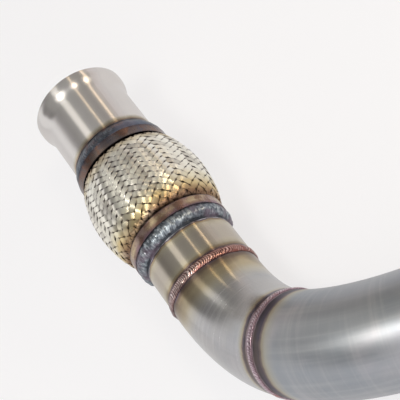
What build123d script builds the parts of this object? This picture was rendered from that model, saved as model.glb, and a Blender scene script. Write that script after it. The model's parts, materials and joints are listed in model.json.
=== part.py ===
from build123d import *
import math
import os

# Exhaust connecting pipe: a flared inlet tube, a braided flexible coupling, a
# short stub and two mandrel bends, welded end to end. It is modelled as it
# lies on a flat floor, at z = 0, with the inlet's heading along +X.
# Lengths are in millimetres and angles in degrees.

# Tube
tube_diameter = 63.5
tube_wall = 1.5

# Flared inlet
flare_rise = 3.25
flare_lip_length = 3.0
flare_length = 12.0
inlet_run = 59.5

# Flexible coupling, the same at both ends
free_length = 65.0
ferrule_wall = 1.3
ferrule_length = 13.0
skirt_length = 7.5
shoulder_length = 1.6
skirt_rise = 2.25
tube_insertion = 10.5
layer_clearance = 0.1
end_clearance = 0.3

# Woven sleeve
braid_wall = 1.3
lip_clearance = 0.5
shoulder_run = 3.0
shoulder_rise = 3.5
barrel_bulge = 5.2
carriers_each_way = 32
braid_angle = 61.0
ribbon_relief = 0.75
ribbon_bevel = 0.7
first_peak_angle = 20.7
braid_gap_length = 2.2
braid_gap_width = 1.5
braid_gap_rows = 7

# Corrugated bellows under the sleeve
bellows_wall = 0.5
bellows_clearance = 1.2
bellows_pitch = 5.6
bellows_folds = 7

# Strip-wound liner inside the bellows
liner_wall = 0.7
liner_lap_depth = 0.7
liner_laps = 6

# Stub and bends
stub_run = 33.9
bend_entry = 5.0
bend_radius = 101.6
first_bend_angle = 45.0
second_bend_angle = 60.0
second_bend_turn_angle = -78.8
weld_leg = 3.0
outlet_length = 60.0

# Welds
fillet_toe = 5.0
inlet_weld_bulge = 0.7
outlet_weld_bulge = 2.0
butt_gap = 1.5
butt_root_height = 0.5
stub_weld_width = 6.3
stub_weld_height = 0.9
bend_weld_width = 5.0
bend_weld_height = 0.8

# Sizes that follow from the ones above
tube_radius = tube_diameter / 2
bore_radius = tube_radius - tube_wall
flare_radius = tube_radius + flare_rise
half_free = free_length / 2
neck_end = half_free + ferrule_length
tube_end = neck_end - tube_insertion
flex_middle = inlet_run + neck_end
stub_weld_at = flex_middle + neck_end + stub_run
neck_bore = tube_radius + layer_clearance
neck_radius = neck_bore + ferrule_wall
skirt_radius = neck_radius + skirt_rise
braid_bore = neck_bore + bellows_wall + layer_clearance
cuff_end = half_free + skirt_length - ferrule_wall
repeats = carriers_each_way // 2
half_column = 180 / carriers_each_way
flatness = math.cos(math.radians(half_column))
sleeve_foot = half_free - lip_clearance
barrel_end = sleeve_foot - shoulder_run
barrel_crest = (braid_bore + braid_wall) / flatness + shoulder_rise + barrel_bulge
barrel_arc_radius = (barrel_end**2 + barrel_bulge**2) / (2 * barrel_bulge)


# Route of the centreline. A plane stands across the pipe at each station: its
# z direction points downstream and its x direction to the next bend's centre.

def onward(here, length):
    """The plane a straight length further down the pipe."""
    return Plane(here.origin + here.z_dir * length, x_dir=here.x_dir, z_dir=here.z_dir)


def round_bend(here, angle):
    """The plane after a mandrel bend of the given angle."""
    turn = math.radians(angle)
    ahead = here.z_dir * math.sin(turn) + here.x_dir * (1 - math.cos(turn))
    return Plane(
        here.origin + ahead * bend_radius,
        x_dir=here.x_dir * math.cos(turn) - here.z_dir * math.sin(turn),
        z_dir=here.z_dir * math.cos(turn) + here.x_dir * math.sin(turn),
    )


def twisted(here, angle):
    """The same plane with its x direction turned about the pipe."""
    turned = here.x_dir.rotate(Axis((0, 0, 0), here.z_dir), angle)
    return Plane(here.origin, x_dir=turned, z_dir=here.z_dir)


def route(mouth):
    """Named planes across the pipe, from the inlet's mouth to the outlet."""
    stations = {"mouth": mouth, "flex": onward(mouth, flex_middle)}
    stations["stub_weld"] = onward(mouth, stub_weld_at)
    stations["first_start"] = onward(stations["stub_weld"], bend_entry)
    stations["first_end"] = round_bend(stations["first_start"], first_bend_angle)
    joint = onward(stations["first_end"], weld_leg)
    stations["bend_weld"] = twisted(joint, second_bend_turn_angle)
    stations["second_start"] = onward(stations["bend_weld"], weld_leg)
    stations["second_end"] = round_bend(stations["second_start"], second_bend_angle)
    stations["outlet"] = onward(stations["second_end"], outlet_length)
    return stations


# How the pipe lies. It touches the floor with the barrel of the coupling, the
# first bend and the outlet, so the floor is the plane through their lowest
# points, and those are found again until the plane stays where it is.

def barrel_radius(along):
    """Outer radius of the sleeve at a distance from the coupling's middle."""
    return barrel_crest - barrel_arc_radius + math.sqrt(barrel_arc_radius**2 - along**2)


def round_sections(stations):
    """Planes and radii of the round sections that may touch the floor."""
    steps = 240
    shares = [step / steps for step in range(steps + 1)]
    reach = [barrel_end * (2 * share - 1) for share in shares]
    barrel = [(onward(stations["flex"], along), barrel_radius(along)) for along in reach]
    first, second = (
        [(round_bend(stations[start], angle * share), tube_radius) for share in shares]
        for start, angle in (
            ("first_start", first_bend_angle),
            ("second_start", second_bend_angle),
        )
    )
    return barrel, first, second + [(stations["outlet"], tube_radius)]


def reach_down(section, down):
    """Point of a round section that lies furthest in a direction."""
    plane, radius = section
    within = down - plane.z_dir * down.dot(plane.z_dir)
    return plane.origin + within.normalized() * radius


def lying_mouth():
    """Plane of the inlet's mouth once the pipe lies on the floor."""
    sections = round_sections(route(Plane.XY))
    up = Vector(1, 1, 0).normalized()
    tries = 40
    for _ in range(tries):
        feet = [
            min((reach_down(section, -up) for section in group), key=up.dot)
            for group in sections
        ]
        normal = (feet[1] - feet[0]).cross(feet[2] - feet[0]).normalized()
        up = normal if normal.dot(up) > 0 else -normal
    ahead = (Vector(0, 0, 1) - up * up.Z).normalized()
    aside = up.cross(ahead)
    return Plane(
        (0, 0, 0),
        x_dir=(ahead.X, aside.X, up.X),
        z_dir=(ahead.Z, aside.Z, up.Z),
    )


def on_the_floor(mouth):
    """The mouth's plane, with the middle of the footprint at the origin."""
    stations = route(mouth)
    flare = (mouth, flare_radius)
    everything = [flare] + [item for group in round_sections(stations) for item in group]
    low, high = [], []
    for direction in (Vector(1, 0, 0), Vector(0, 1, 0), Vector(0, 0, 1)):
        low.append(min(reach_down(item, -direction).dot(direction) for item in everything))
        high.append(max(reach_down(item, direction).dot(direction) for item in everything))
    shift = Vector(-(low[0] + high[0]) / 2, -(low[1] + high[1]) / 2, -low[2])
    return Plane(mouth.origin + shift, x_dir=mouth.x_dir, z_dir=mouth.z_dir)


at = route(on_the_floor(lying_mouth()))


def lengthwise(plane):
    """Sketch plane through the pipe: x runs downstream and y is the radius."""
    return Plane(plane.origin, x_dir=plane.z_dir, z_dir=plane.z_dir.cross(plane.x_dir))


def centreline(plane):
    return Axis(plane.origin, plane.z_dir)


def sheet(outline, thickness):
    """Closed outline of a thin sheet that lies to the right of an open outline."""
    slopes = [math.atan2(b[1] - a[1], b[0] - a[0]) for a, b in zip(outline, outline[1:])]
    back = []
    for (x, y), before, after in zip(outline, slopes[:1] + slopes, slopes + slopes[-1:]):
        aim, reach = (before + after) / 2, thickness / math.cos((after - before) / 2)
        back.append((x + reach * math.sin(aim), y - reach * math.cos(aim)))
    return Polyline(*outline, *reversed(back), close=True)


def save(piece, name):
    piece.part.label = name
    export_step(piece.part, f"parts/{name}.step")


os.makedirs("parts", exist_ok=True)

# Flared inlet tube

with BuildPart() as flared_inlet:
    with BuildSketch(lengthwise(at["mouth"])):
        with BuildLine():
            flare_end = flare_lip_length + flare_length
            middle = ((flare_lip_length + flare_end) / 2, (flare_radius + tube_radius) / 2)
            lip = Line((0, flare_radius), (flare_lip_length, flare_radius))
            TangentArc(lip @ 1, middle, tangent=(1, 0))
            TangentArc((flare_end, tube_radius), middle, tangent=(-1, 0))
            Line((flare_end, tube_radius), (inlet_run + tube_insertion, tube_radius))
            offset(amount=tube_wall, side=Side.RIGHT)
        make_face()
    revolve(axis=centreline(at["mouth"]))
save(flared_inlet, "flared_inlet")


# Straight and bent tubes

def bent_tube(start, entry, angle, leg):
    """A tube with straight ends, bent towards the starting plane's x direction."""
    with BuildPart() as piece:
        flat = Plane(start.origin, x_dir=start.x_dir, z_dir=start.x_dir.cross(start.z_dir))
        with BuildLine(flat):
            run = Line((0, 0), (0, entry))
            arc = JernArc(run @ 1, run % 1, bend_radius, -angle)
            Line(arc @ 1, arc @ 1 + (arc % 1) * leg)
        with BuildSketch(start):
            Circle(tube_radius)
            Circle(bore_radius, mode=Mode.SUBTRACT)
        sweep()
    return piece


with BuildPart() as stub_tube:
    with BuildSketch(onward(at["flex"], tube_end)):
        Circle(tube_radius)
        Circle(bore_radius, mode=Mode.SUBTRACT)
    extrude(amount=tube_insertion + stub_run - butt_gap / 2)
save(stub_tube, "stub_tube")

first_bend = bent_tube(
    onward(at["stub_weld"], butt_gap / 2),
    bend_entry - butt_gap / 2,
    first_bend_angle,
    weld_leg - butt_gap / 2,
)
save(first_bend, "first_bend")

second_bend = bent_tube(
    onward(at["bend_weld"], butt_gap / 2),
    weld_leg - butt_gap / 2,
    second_bend_angle,
    outlet_length,
)
save(second_bend, "second_bend")


# Butt welds: a low crown outside, the filled root gap and a small bead inside

def butt_weld(plane, width, height):
    with BuildPart() as piece:
        with BuildSketch(lengthwise(plane)):
            with BuildLine():
                gap, crown = butt_gap / 2, width / 2
                left = Polyline((-gap, bore_radius), (-gap, tube_radius), (-crown, tube_radius))
                ThreePointArc(left @ 1, (0, tube_radius + height), (crown, tube_radius))
                right = Polyline((crown, tube_radius), (gap, tube_radius), (gap, bore_radius))
                ThreePointArc(right @ 1, (0, bore_radius - butt_root_height), left @ 0)
            make_face()
        revolve(axis=centreline(plane))
    return piece


save(butt_weld(at["stub_weld"], stub_weld_width, stub_weld_height), "stub_weld")
save(butt_weld(at["bend_weld"], bend_weld_width, bend_weld_height), "bend_weld")


# Ferrules: pressed rings that clamp the coupling's layers at each end, and the
# fillet welds that join them to the tubes

def outward(plane, side):
    """Lengthwise plane that runs from the coupling's middle to one of its ends."""
    return Plane(plane.origin, x_dir=plane.z_dir * side, z_dir=plane.z_dir.cross(plane.x_dir))


def ferrule(side):
    with BuildPart() as piece:
        with BuildSketch(outward(at["flex"], side)):
            with BuildLine():
                sheet(
                    [
                        (half_free, skirt_radius),
                        (half_free + skirt_length, skirt_radius),
                        (half_free + skirt_length + shoulder_length, neck_radius),
                        (neck_end, neck_radius),
                    ],
                    ferrule_wall,
                )
            make_face()
        revolve(axis=centreline(at["flex"]))
    return piece


def fillet_weld(side, bulge):
    with BuildPart() as piece:
        with BuildSketch(outward(at["flex"], side)):
            with BuildLine():
                toe = (neck_end + fillet_toe, tube_radius)
                root = Polyline(
                    toe,
                    (neck_end, tube_radius),
                    (neck_end, neck_radius),
                    (half_free + skirt_length + shoulder_length, neck_radius),
                    (half_free + skirt_length, skirt_radius),
                )
                SagittaArc(root @ 1, toe, bulge)
            make_face()
        revolve(axis=centreline(at["flex"]))
    return piece


save(ferrule(-1), "inlet_ferrule")
save(ferrule(1), "outlet_ferrule")
save(fillet_weld(-1, inlet_weld_bulge), "inlet_weld")
save(fillet_weld(1, outlet_weld_bulge), "outlet_weld")


# Bellows: thin sheet with folds that let the coupling flex

with BuildPart() as bellows:
    with BuildSketch(lengthwise(at["flex"])):
        with BuildLine():
            half_length = bellows_folds * bellows_pitch / 2
            root = neck_bore + bellows_wall
            crest = barrel_radius(half_length) * flatness - braid_wall - bellows_clearance
            folds = [(-cuff_end, root)]
            for fold in range(bellows_folds):
                start = fold * bellows_pitch - half_length
                for quarter, radius in enumerate((root, crest, crest, root)):
                    folds.append((start + quarter * bellows_pitch / 4, radius))
            sheet([*folds, (cuff_end, root)], bellows_wall)
        make_face()
    revolve(axis=centreline(at["flex"]))
save(bellows, "bellows")


# Liner: wound strip whose laps slide in one another, drawn as stepped rings

with BuildPart() as liner:
    with BuildSketch(lengthwise(at["flex"])):
        with BuildLine():
            liner_end = tube_end - end_clearance
            flats = 2 * liner_laps + 1
            steps = []
            for flat in range(flats):
                radius = tube_radius - layer_clearance - liner_lap_depth * (flat % 2)
                steps.append((liner_end * (2 * flat / flats - 1), radius))
                steps.append((liner_end * (2 * (flat + 1) / flats - 1), radius))
            sheet(steps, liner_wall)
        make_face()
    revolve(axis=centreline(at["flex"]))
save(liner, "liner")


# Woven sleeve: flat ribbons wound both ways, each over two and under two of the
# others, so that the ribbons on top lean one way in one column and the other
# way in the next. Each column is a flat facet of the barrel.

strand = barrel_radius(0) * math.radians(half_column) / math.sin(math.radians(braid_angle))


def crossing(count):
    """Distance from the coupling's middle to a crossing, counted from there."""
    along = 0.0
    for _ in range(abs(count)):
        half_width = barrel_radius(along) * math.radians(half_column)
        along += math.sqrt(strand**2 - half_width**2)
    return math.copysign(along, count)


rows = 0
while crossing(rows + 2) < barrel_end:
    rows += 1
odd_counts = [count for count in range(-rows, rows + 1) if count % 2]
even_counts = [count for count in range(-rows, rows + 1) if count % 2 == 0]


def ribbon_column(lean, counts):
    """One column of ribbons round the z axis, centred on x and leaning one way."""
    side = lengthwise(Plane.XY)
    band = braid_bore + braid_wall
    bends = [-barrel_end, *(crossing(count) for count in even_counts), barrel_end]
    barrel = [(along, barrel_radius(along) * flatness) for along in bends]
    with BuildPart() as column:
        with BuildSketch(side):
            with BuildLine():
                ends = [(-cuff_end, band), (-sleeve_foot, band)], [(sleeve_foot, band), (cuff_end, band)]
                sheet([*ends[0], *barrel, *ends[1]], braid_wall)
            make_face()
        extrude(amount=barrel_crest * math.tan(math.radians(half_column)), both=True)
        with BuildSketch(Plane.XY.offset(-cuff_end)):
            with BuildLine():
                out = barrel_crest * math.tan(math.radians(half_column))
                Polyline((0, 0), (barrel_crest, -out), (barrel_crest, out), close=True)
            make_face()
        extrude(amount=2 * cuff_end, mode=Mode.INTERSECT)
        for count in counts:
            low, high = crossing(count - 1), crossing(count + 1)
            low_radius, high_radius = barrel_radius(low) * flatness, barrel_radius(high) * flatness
            along, radius = (low + high) / 2, (low_radius + high_radius) / 2
            across = 2 * radius * math.tan(math.radians(half_column))
            with BuildSketch(side):
                with BuildLine():
                    Polyline(
                        (along, radius - ribbon_relief),
                        (along + 2 * ribbon_bevel, radius + ribbon_relief),
                        (along - 2 * ribbon_bevel, radius + ribbon_relief),
                        close=True,
                    )
                make_face()
            run = Vector(high_radius - low_radius, lean * across, high - low)
            extrude(amount=run.length, dir=run.normalized(), both=True, mode=Mode.SUBTRACT)
    return column.part


with BuildPart() as ribbon_pair:
    add(ribbon_column(-1, odd_counts), rotation=(0, 0, -half_column))
    add(ribbon_column(1, even_counts), rotation=(0, 0, half_column))
    with BuildSketch(Plane((0, 0, 0), x_dir=(0, 0, 1), z_dir=(1, 0, 0))):
        gap_rows = range(-(braid_gap_rows // 2), braid_gap_rows // 2 + 1)
        with Locations(*[(crossing(2 * row), 0) for row in gap_rows]):
            Polygon(
                (braid_gap_length / 2, 0),
                (0, braid_gap_width / 2),
                (-braid_gap_length / 2, 0),
                (0, -braid_gap_width / 2),
            )
    extrude(amount=barrel_crest, mode=Mode.SUBTRACT)

with BuildPart(at["flex"]) as braid_sleeve:
    with PolarLocations(0, repeats, start_angle=first_peak_angle):
        add(ribbon_pair.part)
save(braid_sleeve, "braid_sleeve")
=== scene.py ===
import json
import math
import random

import bmesh
import bpy
import numpy as np
from mathutils import Matrix, Vector


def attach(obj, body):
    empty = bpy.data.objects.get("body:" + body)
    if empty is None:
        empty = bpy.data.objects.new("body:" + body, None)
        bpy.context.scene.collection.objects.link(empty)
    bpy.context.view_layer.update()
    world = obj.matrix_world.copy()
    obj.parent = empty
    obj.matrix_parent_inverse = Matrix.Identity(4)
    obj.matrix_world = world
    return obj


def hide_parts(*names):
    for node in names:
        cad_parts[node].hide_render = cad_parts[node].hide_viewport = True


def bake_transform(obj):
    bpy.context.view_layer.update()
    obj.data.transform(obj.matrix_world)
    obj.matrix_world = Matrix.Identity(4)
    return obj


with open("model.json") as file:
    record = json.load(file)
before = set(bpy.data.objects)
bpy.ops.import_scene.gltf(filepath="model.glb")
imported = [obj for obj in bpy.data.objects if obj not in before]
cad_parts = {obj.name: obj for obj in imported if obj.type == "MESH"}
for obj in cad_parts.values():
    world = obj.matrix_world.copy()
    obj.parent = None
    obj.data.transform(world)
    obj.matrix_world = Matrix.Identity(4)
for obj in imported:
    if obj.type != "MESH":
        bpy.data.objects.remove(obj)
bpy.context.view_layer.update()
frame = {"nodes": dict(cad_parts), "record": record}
scene = bpy.context.scene
scene.view_settings.view_transform = "Standard"

# Places that come from the frame, in metres

record = frame["record"]
mounts = {mount["name"]: mount for mount in record["mounts"]}
joints = {joint["name"]: joint for joint in record["behaviour"]["joints"]}
FLEX = Vector(joints["coupling_tilt"]["pos_m"])
AXIS = -Vector(mounts["inlet_bore"]["axis"])
LEVEL = Vector(joints["coupling_tilt"]["axis"])
UPRIGHT = AXIS.cross(LEVEL)
MM = 0.001

# The camera's place and the point that it looks at, and its roll about the view

CAMERA_AT = Vector((0.427213, 0.09934, 0.595547))
CAMERA_TARGET = Vector((-0.062661, -0.044401, 0.025397))
CAMERA_ROLL = -57.676
CAMERA_FOV = 20.0


def add_camera():
    data = bpy.data.cameras.new("camera")
    data.sensor_width = 36.0
    data.lens = data.sensor_width / 2 / math.tan(math.radians(CAMERA_FOV / 2))
    camera = bpy.data.objects.new("camera", data)
    scene.collection.objects.link(camera)
    ahead = (CAMERA_TARGET - CAMERA_AT).normalized()
    right = ahead.cross(Vector((0, 0, 1))).normalized()
    up = right.cross(ahead)
    level = Matrix((right, up, -ahead)).transposed().to_4x4()
    camera.matrix_world = (
        Matrix.Translation(CAMERA_AT) @ level @ Matrix.Rotation(math.radians(CAMERA_ROLL), 4, "Z")
    )
    scene.camera = camera


# Light: a pale floor, a grey room with a pale band round its foot, a soft box
# high on the +X side, and three round lamps, one white and two warm. Each of the
# three has a faint glow round it and a long soft strip beside it

CREAM = (1.0, 0.98, 0.92)
WARM = (1.0, 0.80, 0.54)
WHITE_WAY = (0.33, -0.13, 0.93)
HIGH_WAY = (0.30, 0.50, 0.80)
LOW_WAY = (0.20, 0.86, 0.48)
LAMP_DISTANCE = 1.2
GLOW_DISTANCE = 1.21
SOFT_BOX_DISTANCE = 1.6
FLOOR_SIZE = 12
FLOOR_GLOW = 0.68


def add_lamp(name, direction, distance, size, radiance, colour=(1, 1, 1)):
    """A lamp that faces the coupling: round, or a rectangle with its first side along X."""
    data = bpy.data.lights.new(name, "AREA")
    if isinstance(size, tuple):
        data.shape = "RECTANGLE"
        data.size, data.size_y = size
        area = size[0] * size[1]
    else:
        data.shape = "DISK"
        data.size = size
        area = math.pi * size**2 / 4
    data.energy = radiance * math.pi * area
    data.color = colour
    lamp = bpy.data.objects.new(name, data)
    scene.collection.objects.link(lamp)
    away = Vector(direction).normalized()
    wide = (Vector((1, 0, 0)) - away * away.x).normalized()
    turn = Matrix((wide, away.cross(wide), away)).transposed().to_4x4()
    lamp.matrix_world = Matrix.Translation(FLEX + away * distance) @ turn


def add_lights():
    add_lamp("soft_box", (0.78, 0.12, 0.61), SOFT_BOX_DISTANCE, (1.3, 1.3), 1.3)
    add_lamp("white_lamp", WHITE_WAY, LAMP_DISTANCE, 0.32, 10, CREAM)
    add_lamp("warm_lamp_high", HIGH_WAY, LAMP_DISTANCE, 0.19, 10, WARM)
    add_lamp("warm_lamp_low", LOW_WAY, LAMP_DISTANCE, 0.19, 12, WARM)
    add_lamp("white_glow", WHITE_WAY, GLOW_DISTANCE, 0.66, 1.1, CREAM)
    add_lamp("warm_glow_high", HIGH_WAY, GLOW_DISTANCE, 0.36, 1.3, CREAM)
    add_lamp("warm_glow_low", LOW_WAY, GLOW_DISTANCE, 0.36, 1.3, CREAM)
    add_lamp("white_strip", (-0.48, -0.17, 0.86), LAMP_DISTANCE, (0.8, 0.28), 0.68, CREAM)
    add_lamp("warm_strip_high", (-0.48, 0.41, 0.78), LAMP_DISTANCE, (0.8, 0.05), 1.4, WARM)
    add_lamp("warm_strip_low", (-0.50, 0.74, 0.44), LAMP_DISTANCE, (0.8, 0.05), 2.2, WARM)


def add_room():
    """Grey walls with a pale foot. The -Y side has a bright screen with a dim band above it."""
    world = bpy.data.worlds.new("room")
    scene.world = world
    world.use_nodes = True
    room = Nodes(tree=world.node_tree, coordinates="Generated")
    up = room.dot(room.place, (0, 0, 1))
    side = room.dot(room.place, (0, 1, 0))
    walls = room.ramp(up, [
        (0.0, (0.80, 0.77, 0.77)),
        (0.2, (0.72, 0.68, 0.67)),
        (0.35, (0.42, 0.40, 0.39)),
        (0.55, (0.32, 0.31, 0.30)),
        (0.75, (0.36, 0.36, 0.35)),
        (1.0, (0.36, 0.36, 0.355)),
    ])
    dim = room.ramp(up, [(0.40, 0.0), (0.50, 0.85), (0.62, 0.5), (0.78, 0.0)])
    screen = room.ramp(up, [(0.38, 1.0), (0.45, 0.0)])
    there = room.ramp(side, [(-0.5, 1.0), (-0.3, 0.0)])
    shade = room.mix(room.math("MULTIPLY", dim, there), walls, (0.17, 0.165, 0.17))
    tone = room.mix(room.math("MULTIPLY", screen, there), shade, (0.92, 0.92, 0.93))
    background = world.node_tree.nodes["Background"]
    room.link(tone, background.inputs["Color"])
    background.inputs["Strength"].default_value = 1.0


def add_floor():
    """A pale floor whose own glow keeps the shadows faint where the camera or metal sees it."""
    bpy.ops.mesh.primitive_plane_add(size=FLOOR_SIZE, location=(0, 0, 0))
    floor = bpy.context.object
    floor.name = "floor"
    nodes = Nodes("pale_floor")
    tone = nodes.mix(nodes.noise(30), (0.865, 0.86, 0.87), (0.875, 0.87, 0.88))
    floor.data.materials.append(nodes.finish(tone, 0.9, metallic=0.0))
    nodes.shader.inputs["Specular IOR Level"].default_value = 0.1
    path = nodes.add("ShaderNodeLightPath").outputs
    seen = nodes.math("MAXIMUM", path["Is Camera Ray"], path["Is Glossy Ray"])
    seen = nodes.math("MAXIMUM", seen, path["Is Transmission Ray"])
    glow = nodes.add("ShaderNodeEmission")
    tint = nodes.mix(path["Is Camera Ray"], (0.86, 0.855, 0.87), (1.0, 0.99, 1.0))
    nodes.link(tint, glow.inputs["Color"])
    blend = nodes.add("ShaderNodeMixShader")
    nodes.link(nodes.math("MULTIPLY", seen, FLOOR_GLOW), blend.inputs["Fac"])
    nodes.link(nodes.shader.outputs["BSDF"], blend.inputs[1])
    nodes.link(glow.outputs["Emission"], blend.inputs[2])
    output = next(node for node in nodes.tree.nodes if node.type == "OUTPUT_MATERIAL")
    nodes.link(blend.outputs["Shader"], output.inputs["Surface"])


# Materials

class Nodes:
    """Short calls for building one material's node tree."""

    def __init__(self, name=None, tree=None, coordinates="Object"):
        self.tree = tree
        if tree is None:
            self.material = bpy.data.materials.new(name)
            self.material.use_nodes = True
            self.tree = self.material.node_tree
            self.shader = self.tree.nodes["Principled BSDF"]
        self.place = self.add("ShaderNodeTexCoord").outputs[coordinates]

    def add(self, kind, **settings):
        node = self.tree.nodes.new(kind)
        for key, value in settings.items():
            setattr(node, key, value)
        return node

    def link(self, source, target):
        if hasattr(source, "is_linked"):
            self.tree.links.new(source, target)
        else:
            target.default_value = source

    def math(self, operation, first, second=0.0):
        node = self.add("ShaderNodeMath", operation=operation)
        self.link(first, node.inputs[0])
        self.link(second, node.inputs[1])
        return node.outputs[0]

    def dot(self, vector, direction):
        node = self.add("ShaderNodeVectorMath", operation="DOT_PRODUCT")
        self.link(vector, node.inputs[0])
        node.inputs[1].default_value = direction
        return node.outputs["Value"]

    def along(self, place):
        """Distance in millimetres past a place on the pipe."""
        reach = self.dot(self.place, place.direction)
        past = self.math("SUBTRACT", reach, place.point.dot(place.direction))
        return self.math("MULTIPLY", past, 1000)

    def noise(self, scale, detail=4, roughness=0.55, stretch=None, vector=None):
        source = vector or self.place
        if stretch:
            mapping = self.add("ShaderNodeMapping")
            self.link(source, mapping.inputs["Vector"])
            mapping.inputs["Scale"].default_value = stretch
            source = mapping.outputs["Vector"]
        node = self.add("ShaderNodeTexNoise")
        self.link(source, node.inputs["Vector"])
        node.inputs["Scale"].default_value = scale
        node.inputs["Detail"].default_value = detail
        node.inputs["Roughness"].default_value = roughness
        return node.outputs["Fac"]

    def ramp(self, factor, stops):
        """Colours at positions, in the factor's own units."""
        low, high = stops[0][0], stops[-1][0]
        span = self.add("ShaderNodeMapRange", clamp=True)
        self.link(factor, span.inputs["Value"])
        span.inputs["From Min"].default_value = low
        span.inputs["From Max"].default_value = high
        node = self.add("ShaderNodeValToRGB")
        node.color_ramp.interpolation = "EASE"
        points = node.color_ramp.elements
        while len(points) < len(stops):
            points.new(0.5)
        for point, (position, colour) in zip(points, stops):
            point.position = (position - low) / (high - low)
            value = (colour, colour, colour) if isinstance(colour, (int, float)) else colour
            point.color = (*value, 1)
        self.link(span.outputs["Result"], node.inputs["Fac"])
        return node.outputs["Color"]

    def mix(self, factor, first, second, blend="MIX"):
        node = self.add("ShaderNodeMix", data_type="RGBA", blend_type=blend)
        self.link(factor, node.inputs["Factor"])
        for value, place in ((first, "A"), (second, "B")):
            if isinstance(value, tuple):
                value = (*value, 1)
            self.link(value, [s for s in node.inputs if s.name == place and s.type == "RGBA"][0])
        return [s for s in node.outputs if s.type == "RGBA"][0]

    def cross(self, first, second):
        node = self.add("ShaderNodeVectorMath", operation="CROSS_PRODUCT")
        for value, socket in zip((first, second), node.inputs):
            self.link(value, socket)
        return node.outputs["Vector"]

    def crest(self):
        """The crest value that the mesh keeps at each point, from 0 in a groove to 1, which the
        materials turn into painted shade and painted highlights.
        """
        return self.attribute("crest", "Fac")

    def attribute(self, name, output):
        node = self.add("ShaderNodeAttribute", attribute_type="GEOMETRY")
        node.attribute_name = name
        return node.outputs[output]

    def stretch_gloss(self, tangent, amount):
        """Spread reflections along a direction."""
        self.shader.inputs["Anisotropic"].default_value = amount
        self.link(tangent, self.shader.inputs["Tangent"])

    def finish(self, colour, roughness, metallic=1.0, bump=None, bump_height=0.0001):
        self.link(colour, self.shader.inputs["Base Color"])
        self.link(roughness, self.shader.inputs["Roughness"])
        self.shader.inputs["Metallic"].default_value = metallic
        if bump is not None:
            node = self.add("ShaderNodeBump")
            node.inputs["Distance"].default_value = bump_height
            self.link(bump, node.inputs["Height"])
            self.link(node.outputs["Normal"], self.shader.inputs["Normal"])
        return self.material


# Colours of heated steel. A tint lists colours by their distance in millimetres
# from the edge of a weld

STRAW = (0.58, 0.52, 0.39)
GOLD = (0.42, 0.33, 0.21)
BROWN = (0.24, 0.17, 0.13)
PURPLE = (0.16, 0.12, 0.15)
SILVER = (0.62, 0.62, 0.62)


class Place:
    """A flat cut across the pipe, with the direction of the flow."""

    def __init__(self, point, direction):
        self.point = Vector(point)
        self.direction = Vector(direction).normalized()

    def onward(self, length):
        return Place(self.point + self.direction * length * MM, self.direction)


# Places and lengths on the pipe. Lengths are in millimetres from here on, and the
# coupling's are taken from its middle

STUB_WELD_AT = 79.4
MIDDLE = Place(FLEX, AXIS)
STUB_WELD = MIDDLE.onward(STUB_WELD_AT)
BEND_WELD = Place((0.083502, -0.043869, 0.045375), (0.7591, 0.5212, 0.39))
FIRST_CENTRE_WAY = Vector((0.0807, 0.7371, 0.6710)).normalized()
SECOND_CENTRE_WAY = Vector((-0.2117, 0.7642, -0.6093)).normalized()
BEND_ENTRY = 5.0
WELD_LEG = 3.0
BEND_RADIUS = 101.6
FILLET_TOE = 50.5
LIP = 32.5
STUB_WELD_HALF = 3.15
BEND_WELD_HALF = 2.5


def wavy(nodes, distance, size=1.0):
    """The same distance with an uneven edge."""
    swing = nodes.math("MULTIPLY", nodes.math("SUBTRACT", nodes.noise(160), 0.5), size * 2.4)
    return nodes.math("ADD", distance, swing)


class Run:
    """A straight stretch of tube, for what runs round or along its surface."""

    def __init__(self, direction):
        self.direction = Vector(direction).normalized()

    def tangent(self, nodes):
        node = nodes.add("ShaderNodeCombineXYZ")
        for value, socket in zip(self.direction, node.inputs):
            socket.default_value = value
        return node.outputs["Vector"]

    def lines(self, nodes, scale):
        """Fine polishing lines that run round the tube."""
        across = self.direction.orthogonal().normalized()
        third = self.direction.cross(across)
        vector = nodes.add("ShaderNodeCombineXYZ")
        nodes.link(nodes.dot(nodes.place, self.direction), vector.inputs[0])
        nodes.link(nodes.dot(nodes.place, across * 0.04), vector.inputs[1])
        nodes.link(nodes.dot(nodes.place, third * 0.04), vector.inputs[2])
        return nodes.noise(scale, detail=3, vector=vector.outputs[0])

    def scratches(self, nodes, scale):
        """Streaks that run along the tube."""
        return nodes.noise(scale, detail=4, stretch=(0.06, 1, 1))


class Bend:
    """A bent stretch of tube, from its start, its heading there and the way to its centre."""

    def __init__(self, start, way):
        self.centre = start.point + way * BEND_RADIUS * MM
        self.start = -way
        self.normal = self.start.cross(start.direction).normalized()

    def local(self, nodes):
        shift = nodes.add("ShaderNodeVectorMath", operation="SUBTRACT")
        nodes.link(nodes.place, shift.inputs[0])
        shift.inputs[1].default_value = self.centre
        return shift.outputs["Vector"]

    def tangent(self, nodes):
        return nodes.cross(self.normal, self.local(nodes))

    def lines(self, nodes, scale):
        """Fine polishing lines that run round the tube."""
        local = self.local(nodes)
        ahead = self.normal.cross(self.start)
        turn = nodes.math("ARCTAN2", nodes.dot(local, ahead), nodes.dot(local, self.start))
        vector = nodes.add("ShaderNodeCombineXYZ")
        nodes.link(nodes.math("MULTIPLY", turn, BEND_RADIUS * MM), vector.inputs[0])
        nodes.link(nodes.dot(local, self.start * 0.03), vector.inputs[1])
        nodes.link(nodes.dot(local, self.normal * 0.03), vector.inputs[2])
        return nodes.noise(scale, detail=3, vector=vector.outputs[0])

    def scratches(self, nodes, scale):
        """Streaks that run along the tube."""
        local = self.local(nodes)
        flat = nodes.add("ShaderNodeVectorMath", operation="LENGTH")
        level = nodes.dot(local, self.normal)
        nodes.link(local, flat.inputs[0])
        vector = nodes.add("ShaderNodeCombineXYZ")
        nodes.link(flat.outputs["Value"], vector.inputs[0])
        nodes.link(level, vector.inputs[1])
        nodes.link(nodes.dot(local, self.start * 0.05), vector.inputs[2])
        return nodes.noise(scale, detail=4, vector=vector.outputs[0])


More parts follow.
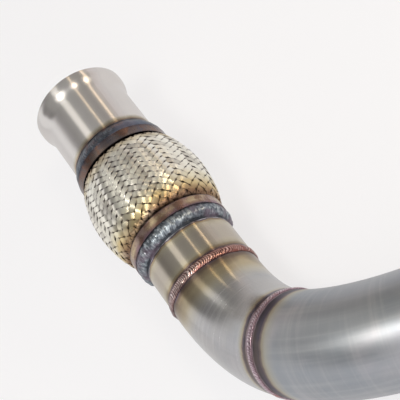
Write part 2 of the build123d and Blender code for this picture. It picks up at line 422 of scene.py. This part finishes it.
def steel(
    name, tone, roughness, run, tints, mottle=0.0, streaks=0.0, gloss_swing=0.06, stretch=0.9
):
    """Steel tube: cloudy tone, polishing lines, scratches, and heat tints beside welds."""
    nodes = Nodes(name)
    dark = tuple(channel * 0.88 for channel in tone)
    colour = nodes.mix(nodes.noise(45), dark, tone)
    grain = run.lines(nodes, 2600)
    colour = nodes.mix(nodes.math("MULTIPLY", grain, 0.35), colour, tuple(c * 0.8 for c in tone))
    gloss = nodes.math("MULTIPLY", nodes.noise(38, detail=2), gloss_swing)
    rough = nodes.math("ADD", gloss, roughness - 0.5 * gloss_swing)
    if mottle:
        cool = nodes.ramp(nodes.noise(24, detail=5, roughness=0.6), [(0.38, 0.0), (0.66, mottle)])
        colour = nodes.mix(cool, colour, (0.31, 0.34, 0.38))
        cloud = nodes.noise(19, detail=5, stretch=(1.1, 0.9, 1))
        warm = nodes.ramp(cloud, [(0.45, 0.0), (0.70, mottle)])
        colour = nodes.mix(warm, colour, (0.57, 0.53, 0.55))
        worn = run.scratches(nodes, 330)
        bare = nodes.ramp(worn, [(0.45, 0.0), (0.80, 0.35 * mottle)])
        colour = nodes.mix(bare, colour, (0.68, 0.69, 0.68))
        rough = nodes.math("ADD", rough, nodes.math("MULTIPLY", worn, 0.24 * mottle))
    if streaks:
        arcs = nodes.ramp(run.lines(nodes, 420), [(0.48, 0.0), (0.78, streaks)])
        colour = nodes.mix(arcs, colour, (0.70, 0.69, 0.67))
        rough = nodes.math("ADD", rough, nodes.math("MULTIPLY", arcs, 0.15))
    for place, way, reach, colours in tints:
        distance = wavy(nodes, nodes.math("MULTIPLY", nodes.along(place), way))
        shade = nodes.ramp(distance, colours)
        share = nodes.ramp(distance, [(colours[-1][0] * 0.5, 1.0), (reach, 0.0)])
        colour = nodes.mix(share, colour, shade)
        soot = nodes.ramp(nodes.noise(34, detail=2), [(0.44, 0.0), (0.60, 0.6)])
        near = nodes.ramp(distance, [(0.5, 1.0), (reach * 0.8, 0.0)])
        colour = nodes.mix(nodes.math("MULTIPLY", soot, near), colour, (0.17, 0.13, 0.10))
    nodes.stretch_gloss(run.tangent(nodes), stretch)
    return nodes.finish(colour, rough, bump=grain, bump_height=0.000003)


def burnt_band(width):
    """Near-black steel beside a weld, then purple, brown and straw."""
    return [
        (0.0, (0.34, 0.25, 0.28)), (1.1, (0.28, 0.21, 0.25)), (2.0, (0.060, 0.050, 0.062)),
        (width * 0.8, (0.10, 0.085, 0.115)), (width, (0.21, 0.165, 0.16)),
        (width + 1.8, (0.46, 0.40, 0.29)), (width + 5.0, (0.52, 0.49, 0.39)),
    ]


def dress_tubes():
    straight = Run(AXIS)
    first = Bend(STUB_WELD.onward(BEND_ENTRY), FIRST_CENTRE_WAY)
    second = Bend(BEND_WELD.onward(WELD_LEG), SECOND_CENTRE_WAY)
    dress("flared_inlet", steel(
        "inlet_steel", (0.81, 0.77, 0.74), 0.26, straight,
        [(MIDDLE.onward(-FILLET_TOE), -1, 6.0, [
            (0.0, BROWN), (0.8, (0.42, 0.32, 0.24)), (2.2, STRAW),
        ])],
    ))
    dress("stub_tube", steel(
        "stub_steel", (0.57, 0.51, 0.43), 0.22, straight,
        [
            (MIDDLE.onward(FILLET_TOE), 1, 9.0, [
                (0.0, SILVER), (0.9, PURPLE), (1.8, GOLD), (3.6, STRAW),
            ]),
            (STUB_WELD.onward(-STUB_WELD_HALF), -1, 9.0, [
                (0.0, PURPLE), (0.8, BROWN), (1.7, GOLD), (4.0, STRAW),
            ]),
        ],
    ))
    dress("first_bend", steel(
        "first_bend_steel", (0.52, 0.51, 0.50), 0.18, first,
        [
            (STUB_WELD.onward(STUB_WELD_HALF), 1, 26.0, [
                (0.0, PURPLE), (1.8, BROWN), (4.5, GOLD), (9.0, (0.50, 0.42, 0.28)), (18.0, STRAW),
            ]),
            (BEND_WELD.onward(-BEND_WELD_HALF), -1, 11.0, burnt_band(4.4)),
        ],
        mottle=0.35, streaks=0.3, gloss_swing=0.10, stretch=0.6,
    ))
    dress("second_bend", steel(
        "second_bend_steel", (0.43, 0.445, 0.47), 0.35, second,
        [(BEND_WELD.onward(BEND_WELD_HALF), 1, 21.0, burnt_band(8.6))],
        mottle=0.6, streaks=0.2, gloss_swing=0.14, stretch=0.5,
    ))


def dress(name, material):
    node = frame["nodes"][name]
    node.data.materials.clear()
    node.data.materials.append(material)


def ferrule_material(name, way, stain, stops):
    """Pressed ring: colours along it from its lip, uneven patches, and a painted shadow at its lip,
    near black, where the braid shades its end face.
    """
    nodes = Nodes(name)
    reach = nodes.math("MULTIPLY", nodes.along(MIDDLE), way)
    colour = nodes.ramp(wavy(nodes, reach, 0.8), stops)
    patch = nodes.ramp(nodes.noise(70, detail=3), [(0.42, 0.0), (0.62, 0.55)])
    colour = nodes.mix(patch, colour, stain)
    smudge = nodes.ramp(nodes.noise(110, detail=4), [(0.47, 0.0), (0.60, 0.75)])
    colour = nodes.mix(smudge, colour, (0.20, 0.11, 0.08))
    # Painted shadow: near black at the lip, where the braid shades the ring's end face
    edge = nodes.ramp(reach, [(LIP + 0.05, 1.0), (LIP + 0.7, 0.0)])
    colour = nodes.mix(edge, colour, (0.02, 0.017, 0.02))
    rough = nodes.math("ADD", nodes.math("MULTIPLY", nodes.noise(300), 0.16), 0.20)
    return nodes.finish(colour, rough, bump=nodes.noise(1400), bump_height=0.00002)


def dress_rings():
    dress("inlet_ferrule", ferrule_material("inlet_ring_steel", -1, (0.10, 0.11, 0.15), [
        (LIP, (0.15, 0.115, 0.10)), (LIP + 1.5, (0.22, 0.165, 0.14)),
        (LIP + 4.5, (0.17, 0.13, 0.12)), (LIP + 7.5, (0.10, 0.075, 0.08)),
    ]))
    dress("outlet_ferrule", ferrule_material("outlet_ring_steel", 1, (0.30, 0.19, 0.24), [
        (LIP, (0.22, 0.14, 0.12)), (LIP + 1.2, (0.46, 0.34, 0.22)),
        (LIP + 4.0, (0.56, 0.44, 0.28)), (LIP + 6.0, (0.34, 0.23, 0.17)),
        (LIP + 8.0, (0.14, 0.10, 0.12)),
    ]))
    # The bellows and the liner are painted dark steel, painted shade for the inside of the sleeve
    # seen through the braid's holes
    for name in ("bellows", "liner"):
        nodes = Nodes(f"{name}_steel")
        tone = nodes.mix(nodes.noise(200), (0.16, 0.15, 0.14), (0.26, 0.25, 0.23))
        rough = nodes.math("ADD", nodes.math("MULTIPLY", nodes.noise(500), 0.2), 0.3)
        dress(name, nodes.finish(tone, rough))


def weld_material(name, stops, patches, roughness, ends=None):
    """Weld metal: painted shade in the grooves of its ripples, painted highlights on their crests,
    in patches.
    """
    nodes = Nodes(name)
    swing = nodes.math("SUBTRACT", nodes.noise(600, detail=5, roughness=0.7), 0.5)
    height = nodes.math("ADD", nodes.crest(), nodes.math("MULTIPLY", swing, 0.9))
    # Painted shade in the grooves and painted highlights on the crests, from the crest value
    colour = nodes.ramp(height, stops)
    for scale, low, high, tone in patches:
        share = nodes.ramp(nodes.noise(scale, detail=4), [(low, 0.0), (high, 0.75)])
        colour = nodes.mix(share, colour, tone)
    # Colour multiplied by the bead's place across the pipe: darker at the -Y end, painted shade,
    # and redder towards the other end
    if ends:
        side = nodes.math("MULTIPLY", nodes.dot(nodes.place, (0, 1, 0)), 1000)
        side = wavy(nodes, side, 3)
        colour = nodes.mix(1.0, colour, nodes.ramp(side, ends), "MULTIPLY")
    rough = nodes.math("ADD", nodes.math("MULTIPLY", nodes.noise(900), 0.24), roughness - 0.12)
    return nodes.finish(colour, rough, bump=nodes.noise(2200, detail=3), bump_height=0.00005)


# Woven sleeve: 32 ribbons of fine wire wound each way, over two and under two.
# Its barrel is an arc, and its ends draw in to the lips of the rings

BARREL_RADIUS = 42.6
BARREL_ARC = 83.0
BARREL_HALF = 29.0
LIP_FOOT = 32.2
LIP_RADIUS = 33.1
SLEEVE_HALF = 34.0
WEAVE_INSET = 0.79

# Angles round the sleeve are counted in columns of one STEP, half the angle
# between two ribbons of one way. The two ways cross on whole columns, and STRAND
# is a ribbon's length from one crossing to the next

CARRIERS = 32
STEP = math.radians(180 / CARRIERS)
STRAND = 4.75
COUNT_STEP = 0.02
FIRST_PEAK = 26.79

# Each ribbon: its section, how far it swings up and down, the notches in its
# edges at the open holes with painted shade in them, and the flattening of the weave near the
# sleeve's ends

RIBBON_WIDTH = 4.6
RIBBON_THICKNESS = 0.42
RIBBON_GAP = 0.08
WIRES = 9
STEPS_PER_WIRE = 2
HOLE_DEPTH = 0.34
HOLE_LENGTH = 0.15
# How much the holes are darkened, painted shade
HOLE_PAINTED_SHADE = 0.7
WEAVE_HEIGHT = 0.58
FLAT_FROM = 24.0
FLAT_RUN = 4.5
FLAT_SHARE = 0.85
ROWS_PER_CROSSING = 7

# How bright the ribbons are painted: each stretch on top at random, and darker
# where it goes under, painted shade

BRAID_SEED = 7
FLOATS = 4 * CARRIERS
FLOAT_DIMMEST = 0.50
FADE_START = -0.4
FADE_RUN = 0.6
# Brightness where a ribbon lies under another, painted shade
UNDER_PAINTED_SHADE = 0.04
FLAT_SHINE = 0.7

# The sleeve and the two layers inside it are shown in three lengths, each listed
# with the two bodies that it lies between

SPLIT = 10.0
LINING_STEP = 4.0
CUT_TOLERANCE = 1e-7
LENGTHS = (
    ("inlet_end", (-SLEEVE_HALF, -SPLIT), ("inlet", "coupling_sleeve")),
    ("middle", (-SPLIT, SPLIT), ("coupling_sleeve", "coupling_core")),
    ("outlet_end", (SPLIT, SLEEVE_HALF), ("coupling_core", "pipe")),
)


def sleeve_radius(along):
    """Radius of the middle of the woven layer, in millimetres, along the coupling."""
    arc_centre = BARREL_RADIUS - BARREL_ARC - WEAVE_INSET
    reach = np.minimum(np.abs(along), BARREL_HALF)
    barrel = arc_centre + np.sqrt(BARREL_ARC**2 - reach**2)
    edge = arc_centre + math.sqrt(BARREL_ARC**2 - BARREL_HALF**2)
    share = np.clip((np.abs(along) - BARREL_HALF) / (LIP_FOOT - BARREL_HALF), 0, 1)
    drawn_in = edge + (LIP_RADIUS - edge) * np.sin(share * math.pi / 2) ** 1.5
    return np.where(share > 0, drawn_in, barrel)


def crossing_scale():
    """Even steps of the crossing count, and the positions along the coupling that they reach."""
    reach = [0.0]
    while reach[-1] < SLEEVE_HALF:
        width = STEP * float(sleeve_radius(np.array(reach[-1])))
        reach.append(reach[-1] + COUNT_STEP * math.sqrt(STRAND**2 - width**2))
    half = np.array(reach)
    counts = np.arange(len(half)) * COUNT_STEP
    return np.concatenate((-counts[:0:-1], counts)), np.concatenate((-half[:0:-1], half))


def over_under(column):
    """From 1 where the ribbon that leans backward is on top to -1 where it is below."""
    return np.cos((column - 0.5) * math.pi / 2)


def ribbon_section():
    """A ribbon's outline: offsets across and up, and a crest value for each point, lower at its
    edges and zero on its underside, for painted shade.
    """
    across, up, crest = [], [], []
    wire = RIBBON_WIDTH / WIRES
    for index in range(WIRES * STEPS_PER_WIRE + 1):
        hump = math.sin((index % STEPS_PER_WIRE) / STEPS_PER_WIRE * math.pi)
        place = -RIBBON_WIDTH / 2 + index * wire / STEPS_PER_WIRE
        edge = (2 * place / RIBBON_WIDTH) ** 6
        across.append(place)
        up.append(RIBBON_THICKNESS * (0.38 + 0.11 * hump - 0.16 * edge))
        # Crest value: painted shade towards the ribbon's edges, a little brighter on each wire
        crest.append((0.90 + 0.10 * hump) * (1 - 0.42 * edge))
    across += [RIBBON_WIDTH / 2, -RIBBON_WIDTH / 2]
    up += [-RIBBON_THICKNESS / 2, -RIBBON_THICKNESS / 2]
    # The underside points get no brightness, painted shade
    crest += [0.0, 0.0]
    return np.array(across), np.array(up), np.array(crest)


class Rows:
    """Rows of points between two places along the sleeve, and the weave's sizes at each."""

    def __init__(self, low, high, counts, reach):
        first, last = np.interp([low, high], reach, counts)
        self.number = int(math.ceil((last - first) * ROWS_PER_CROSSING)) + 1
        self.count = np.linspace(first, last, self.number)
        self.along = np.interp(self.count, counts, reach)
        self.radius = sleeve_radius(self.along)
        self.slope = np.gradient(self.radius, self.along)
        half_width = STEP * self.radius
        spacing = 2 * half_width * np.sqrt(STRAND**2 - half_width**2) / STRAND
        self.narrow = np.minimum(RIBBON_WIDTH, spacing - RIBBON_GAP) / RIBBON_WIDTH
        self.hole_shift = 1 - (half_width / STRAND) ** 2
        flat = np.clip((np.abs(self.along) - FLAT_FROM) / FLAT_RUN, 0, 1)
        self.relief = 1 - FLAT_SHARE * flat


def unit(vectors):
    return vectors / np.linalg.norm(vectors, axis=1)[:, None]


def notches(rows, column, across):
    """How far each point of a ribbon lies in a notch at one of its edges, from 0 to 1."""
    edges = [
        np.exp(-(((column + hand * rows.hole_shift + 0.5) % 1 - 0.5) / HOLE_LENGTH) ** 2)
        for hand in (1, -1)
    ]
    return np.stack(edges)[(across > 0).astype(int)].T * np.abs(2 * across / RIBBON_WIDTH) ** 3


def woven_ribbon(rows, section, ribbon, lean, draw):
    """One ribbon's points, the crest value of each with painted shade where it goes under and in
    its holes, and the way across it at each row.
    """
    across, up, crest = section
    column = 2 * ribbon + lean * rows.count
    angle = STEP * column
    lift = -lean * over_under(column)
    out = np.stack((np.zeros(rows.number), np.cos(angle), np.sin(angle)), axis=1)
    centre = out * (rows.radius + WEAVE_HEIGHT * rows.relief * lift)[:, None]
    centre[:, 0] = rows.along
    tangent = unit(np.gradient(centre, axis=0))
    side = unit(np.cross(out - rows.slope[:, None] * np.array((1, 0, 0)), tangent))
    normal = np.cross(tangent, side)
    notch = notches(rows, column, across)
    wide = rows.narrow[:, None] * across - HOLE_DEPTH * notch * np.sign(across)
    sideways = side[:, None, :] * wide[:, :, None]
    upward = normal[:, None, :] * up[None, :, None]
    points = (centre[:, None, :] + sideways + upward).reshape(-1, 3)
    shine = draw.uniform(FLOAT_DIMMEST, 1, FLOATS)
    share_past_start = 0.625 if lean > 0 else 0.125
    # Painted shade: darker where the ribbon goes under, evened out near the sleeve's ends
    shown = np.clip((lift - FADE_START) / FADE_RUN, UNDER_PAINTED_SHADE, 1)
    shown = shown * shine[np.floor(column / 4 + share_past_start).astype(int)]
    shown = shown + (FLAT_SHINE - shown) * (1 - rows.relief)
    # Painted shade in the holes at the notches
    crests = (shown[:, None] * crest[None, :] * (1 - HOLE_PAINTED_SHADE * notch)).reshape(-1)
    return points, crests, np.repeat(side, len(across), axis=0)


def ribbon_faces(rows, size):
    """Faces of all ribbons, each a flat tube of that many rows, open at its ends."""
    row, point, ribbon = np.meshgrid(
        np.arange(rows - 1), np.arange(size), np.arange(2 * CARRIERS), indexing="ij"
    )
    here = (ribbon * rows + row) * size
    after = (point + 1) % size
    corners = (here + point, here + after, here + size + after, here + size + point)
    return np.stack(corners, axis=-1).reshape(-1, 4)


def sleeve_directions():
    """The sleeve's own three directions, turned about it so that its peaks are in place."""
    phase = math.radians(FIRST_PEAK) - 1.5 * STEP
    turned_up = UPRIGHT * math.cos(phase) + LEVEL * math.sin(phase)
    turned_level = LEVEL * math.cos(phase) - UPRIGHT * math.sin(phase)
    return np.array((AXIS, turned_up, turned_level))


def braid_part(name, low, high, counts, reach):
    """The woven sleeve between two places along the coupling, as one mesh."""
    section = ribbon_section()
    rows = Rows(low, high, counts, reach)
    draw = np.random.default_rng(BRAID_SEED)
    ribbons = [
        woven_ribbon(rows, section, ribbon, lean, draw)
        for lean in (-1, 1) for ribbon in range(CARRIERS)
    ]
    points, crests, sides = (np.concatenate(parts) for parts in zip(*ribbons))
    directions = sleeve_directions()
    world = points @ directions * MM + np.array(FLEX)
    piece = mesh_piece(name, world, ribbon_faces(rows.number, len(section[0])), crests)
    across_wires = (sides @ directions).astype(np.float32)
    attribute = piece.data.attributes.new("across_wires", "FLOAT_VECTOR", "POINT")
    attribute.data.foreach_set("vector", across_wires.reshape(-1))
    return piece


def mesh_piece(name, points, faces, crest):
    """A smooth mesh that keeps the crest value of each point, for painted shade and highlights."""
    mesh = bpy.data.meshes.new(name)
    mesh.from_pydata(points.tolist(), [], faces.tolist())
    mesh.update()
    mesh.polygons.foreach_set("use_smooth", [True] * len(mesh.polygons))
    heights = mesh.attributes.new("crest", "FLOAT", "POINT")
    heights.data.foreach_set("value", crest.astype(np.float32))
    piece = bpy.data.objects.new(name, mesh)
    scene.collection.objects.link(piece)
    return piece


def braid_material():
    """Bright wire with painted shade where it goes under, at its edges and in its holes; gold and
    brown towards both ends of the sleeve, deepening into painted shade where it runs under the
    rings.
    """
    nodes = Nodes("braid_wire")
    along = wavy(nodes, nodes.along(MIDDLE), 1.2)
    drift = nodes.math("SUBTRACT", nodes.noise(22, detail=2), 0.5)
    along = nodes.math("ADD", along, nodes.math("MULTIPLY", drift, -13))
    # Tone along the sleeve: gold and brown towards both ends, and near black at the very ends,
    # painted shade where the braid runs under the rings
    tone = nodes.ramp(along, [
        (-33.5, (0.06, 0.05, 0.05)), (-32.0, (0.13, 0.09, 0.07)), (-30.5, (0.42, 0.31, 0.20)),
        (-27.0, (0.78, 0.69, 0.50)), (-20.0, (0.97, 0.94, 0.84)), (12.0, (0.98, 0.94, 0.82)),
        (20.0, (0.92, 0.84, 0.62)), (25.0, (0.78, 0.62, 0.34)), (28.5, (0.48, 0.33, 0.18)),
        (31.0, (0.30, 0.18, 0.11)), (33.5, (0.13, 0.08, 0.06)),
    ])
    dull = nodes.ramp(nodes.noise(90), [(0.45, 0.0), (0.7, 0.25)])
    tone = nodes.mix(dull, tone, (0.62, 0.56, 0.50))
    # Painted shade: the wire darkens where its crest value is low, under other ribbons, at ribbon
    # edges and in the holes
    groove = nodes.mix(1.0, tone, (0.20, 0.175, 0.19), "MULTIPLY")
    tone = nodes.mix(nodes.ramp(nodes.crest(), [(0.06, 0.0), (0.76, 1.0)]), groove, tone)
    rough = nodes.math("ADD", nodes.math("MULTIPLY", nodes.noise(160), 0.06), 0.265)
    nodes.stretch_gloss(nodes.attribute("across_wires", "Vector"), 0.9)
    return nodes.finish(tone, rough)


def add_braid():
    counts, reach = crossing_scale()
    material = braid_material()
    for end, (low, high), bodies in LENGTHS:
        piece = braid_part(f"braid_{end}", low, high, counts, reach)
        piece.data.materials.append(material)
        bend_with(piece, "braid_sleeve")


def bend_with(piece, node):
    """A piece that stands for a soft node: the node is hidden and the piece's place is baked into
    its mesh.
    """
    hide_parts(node)
    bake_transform(piece)


def add_lining():
    """The bellows and the liner in the sleeve's three lengths, cut from their nodes."""
    for node in ("bellows", "liner"):
        source = frame["nodes"][node].data
        for end, (low, high), bodies in LENGTHS:
            form = bmesh.new()
            form.from_mesh(source)
            for place in np.arange(-SLEEVE_HALF, SLEEVE_HALF + 1, LINING_STEP):
                cut(form, float(place))
            if low > -SLEEVE_HALF:
                cut(form, low, clear_inner=True)
            if high < SLEEVE_HALF:
                cut(form, high, clear_outer=True)
            mesh = bpy.data.meshes.new(f"{node}_{end}")
            form.to_mesh(mesh)
            form.free()
            mesh.materials.append(source.materials[0])
            piece = bpy.data.objects.new(f"{node}_{end}", mesh)
            scene.collection.objects.link(piece)
            bend_with(piece, node)


def cut(form, place, **sides):
    """Cut a mesh across the coupling, and leave out one side of the cut or none."""
    bmesh.ops.bisect_plane(
        form, geom=form.verts[:] + form.edges[:] + form.faces[:], dist=CUT_TOLERANCE,
        plane_co=FLEX + AXIS * place * MM, plane_no=AXIS, **sides
    )


# Welds: beads with the ripples that the welder's steps left. The radii and the
# distances from the coupling's middle are those of the tubes and rings below them

TUBE_RADIUS = 31.75
BORE_RADIUS = 30.25
NECK_RADIUS = 33.15
SKIRT_RADIUS = 35.4
SKIRT_END = 40.0
SHOULDER_END = 41.6
NECK_END = 45.5
ROOT_GAP = 0.75
ROOT_HEIGHT = 0.5
SUNK = 0.05
RING_STEPS = 1080
GRAIN_STEPS = 5
BUTT_POINTS = 12
FILLET_POINTS = 16

# Weld metal: its colours by height, from the bottom of a groove at 0 to a crest at 1, painted shade
# in the grooves and painted highlights on the crests

SLATE = [
    (0.0, (0.045, 0.05, 0.06)), (0.4, (0.20, 0.225, 0.255)),
    (0.75, (0.48, 0.52, 0.54)), (1.0, (0.84, 0.85, 0.86)),
]
DARK = [
    (0.0, (0.03, 0.035, 0.045)), (0.45, (0.09, 0.10, 0.125)),
    (0.85, (0.22, 0.25, 0.28)), (1.0, (0.45, 0.48, 0.50)),
]
COPPER = [
    (0.0, (0.07, 0.045, 0.048)), (0.45, (0.27, 0.165, 0.15)),
    (0.8, (0.66, 0.53, 0.49)), (1.0, (0.96, 0.90, 0.88)),
]
LILAC = [
    (0.0, (0.14, 0.08, 0.10)), (0.4, (0.36, 0.25, 0.29)),
    (0.8, (0.58, 0.46, 0.50)), (1.0, (0.74, 0.66, 0.68)),
]


def wobble(angle, seed, waves=(3, 5, 8, 13, 21)):
    """Smooth uneven swing round a bead, between about -1 and 1."""
    draw = random.Random(seed)
    total = sum(np.sin(wave * angle + draw.uniform(0, math.tau)) for wave in waves)
    return total / math.sqrt(len(waves))


def arc_between(start, end, height, steps):
    """Points of a low arc between two points, without its ends, and how high each is."""
    share = np.arange(1, steps) / steps
    line = np.outer(1 - share, start) + np.outer(share, end)
    run = np.array(end) - np.array(start)
    out = np.array((-run[1], run[0])) / np.linalg.norm(run)
    if out[1] < 0:
        out = -out
    bow = 4 * share * (1 - share)
    return line + np.outer(bow * height, out), bow


def ring_piece(name, place, fixed, crown, share, swell, body, node, material):
    """A ring round the pipe: a fixed inner outline and a crown that ripples."""
    angle = np.arange(RING_STEPS) / RING_STEPS * math.tau
    count = len(crown) + len(fixed)
    along = np.empty((RING_STEPS, count))
    radius = np.empty((RING_STEPS, count))
    crest = np.zeros((RING_STEPS, count))
    lift, edge, high = swell(angle[:, None], crown[None, :, 0], share[None, :])
    along[:, :len(crown)] = crown[None, :, 0] + edge
    radius[:, :len(crown)] = crown[None, :, 1] + lift
    crest[:, :len(crown)] = high
    along[:, len(crown):] = np.array(fixed)[None, :, 0]
    radius[:, len(crown):] = np.array(fixed)[None, :, 1]
    first = place.direction.orthogonal().normalized()
    second = place.direction.cross(first)
    out = np.outer(np.cos(angle), first) + np.outer(np.sin(angle), second)
    straight = along[:, :, None] * np.array(place.direction)[None, None, :]
    points = np.array(place.point) + MM * (straight + radius[:, :, None] * out[:, None, :])
    step, index = np.meshgrid(np.arange(RING_STEPS), np.arange(count), indexing="ij")
    here, after = step * count, (step + 1) % RING_STEPS * count
    following = (index + 1) % count
    faces = np.stack((here + index, here + following, after + following, after + index), axis=-1)
    piece = mesh_piece(name, points.reshape(-1, 3), faces.reshape(-1, 4), crest.reshape(-1))
    piece.data.materials.append(material)
    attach(piece, body)
    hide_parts(node)


def grains(steps, points, seed):
    """Uneven grains about a millimetre long round a ring and across it, from 0 to 1."""
    draw = np.random.default_rng(seed)
    coarse = draw.random((steps // GRAIN_STEPS, points // 3 + 2)) ** 1.5
    coarse = np.concatenate((coarse, coarse[:1]))
    places = np.arange(steps) * (len(coarse) - 1) / steps
    low = places.astype(int)
    share = (places - low)[:, None]
    rows = coarse[low] * (1 - share) + coarse[low + 1] * share
    spots = np.linspace(0, coarse.shape[1] - 1, points)
    left = np.minimum(spots.astype(int), coarse.shape[1] - 2)
    return rows[:, left] * (1 - (spots - left)) + rows[:, left + 1] * (spots - left)


def ripples(count, height, edge_swing, lumps, grit, seed):
    """Rounded steps round a bead, uneven in pitch, height and width."""
    def swell(angle, along, share):
        centre = (np.max(along) + np.min(along)) / 2
        half = np.max(np.abs(along - centre))
        bow = ((along - centre) / half) ** 2
        step = (angle * count / math.tau + 0.55 * wobble(angle, seed) - 0.9 * bow) % 1
        crest = 1 - (2 * step - 1) ** 2
        uneven = 1 + 0.35 * wobble(angle, seed + 1, (7, 17, 29))
        lump = lumps * wobble(angle, seed + 2, (4, 9, 15, 24, 41))
        rough = grains(len(angle), along.shape[1], seed)
        high = np.clip(crest * (0.75 + 0.25 * uneven) * (1 - grit) + grit * rough, 0, 1)
        lift = share**0.6 * height * (high * uneven) + lump * share
        edge = edge_swing * wobble(angle, seed + 3, (6, 11, 19, 37)) * np.sign(along - centre) * bow
        return lift, edge, high * share**0.3
    return swell


def add_butt_weld(name, place, half, height, node, material, swell):
    """A crown over two tube ends, and the filled gap between them with a bead inside."""
    crown, share = arc_between((-half, TUBE_RADIUS), (half, TUBE_RADIUS), height, BUTT_POINTS)
    under = TUBE_RADIUS - SUNK
    fixed = [
        (half, under), (ROOT_GAP, under), (ROOT_GAP, BORE_RADIUS), (0, BORE_RADIUS - ROOT_HEIGHT),
        (-ROOT_GAP, BORE_RADIUS), (-ROOT_GAP, under), (-half, under),
    ]
    ring_piece(name, place, fixed, crown, share, swell, "pipe", node, material)


def add_fillet_weld(name, way, top, foot, bulge, body, node, material, swell):
    """A bead from a ring's shoulder down over its neck to the tube."""
    place = Place(FLEX, AXIS * way)
    crown, share = arc_between(top, foot, bulge, FILLET_POINTS)
    fixed = [
        foot, (FILLET_TOE, TUBE_RADIUS + 0.12), (FILLET_TOE, TUBE_RADIUS),
        (NECK_END, TUBE_RADIUS), (NECK_END, NECK_RADIUS),
        (SHOULDER_END, NECK_RADIUS), (SKIRT_END + 0.1, SKIRT_RADIUS - 0.2),
    ]
    ring_piece(name, place, fixed, crown, share, swell, body, node, material)


def add_welds():
    add_fillet_weld(
        "inlet_bead", -1, (40.3, 35.0), (49.6, 31.9), 0.7, "inlet", "inlet_weld",
        weld_material("inlet_bead_metal", DARK, [
            (60, 0.50, 0.62, (0.20, 0.11, 0.10)), (40, 0.52, 0.62, (0.14, 0.16, 0.22)),
        ], 0.36),
        ripples(150, height=0.22, edge_swing=0.22, lumps=0.12, grit=0.45, seed=11),
    )
    add_fillet_weld(
        "outlet_bead", 1, (40.7, 34.5), (48.7, 31.9), 1.9, "pipe", "outlet_weld",
        weld_material("outlet_bead_metal", SLATE, [(50, 0.56, 0.68, (0.20, 0.15, 0.19))], 0.36),
        ripples(160, height=0.42, edge_swing=0.40, lumps=0.30, grit=0.75, seed=23),
    )
    # Painted shade at the -Y end of the copper bead, and a redder tint towards the other end
    side_shade_and_tint = [
        (-100, (0.42, 0.36, 0.40)), (-88, (0.9, 0.86, 0.88)), (-70, (1, 1, 1)),
        (-55, (0.95, 0.75, 0.7)), (-40, (0.82, 0.60, 0.56)),
    ]
    add_butt_weld(
        "stub_bead", STUB_WELD, STUB_WELD_HALF, 0.9, "stub_weld",
        weld_material(
            "copper_bead_metal", COPPER, [(70, 0.56, 0.66, (0.31, 0.14, 0.12))], 0.26, side_shade_and_tint,
        ),
        ripples(118, height=0.30, edge_swing=0.20, lumps=0.08, grit=0.2, seed=37),
    )
    add_butt_weld(
        "bend_bead", BEND_WELD, BEND_WELD_HALF, 0.8, "bend_weld",
        weld_material("bend_bead_metal", LILAC, [(60, 0.58, 0.68, (0.48, 0.20, 0.16))], 0.30),
        ripples(118, height=0.20, edge_swing=0.15, lumps=0.06, grit=0.2, seed=51),
    )


add_camera()
add_lights()
add_room()
add_floor()
dress_tubes()
dress_rings()
add_braid()
add_lining()
add_welds()
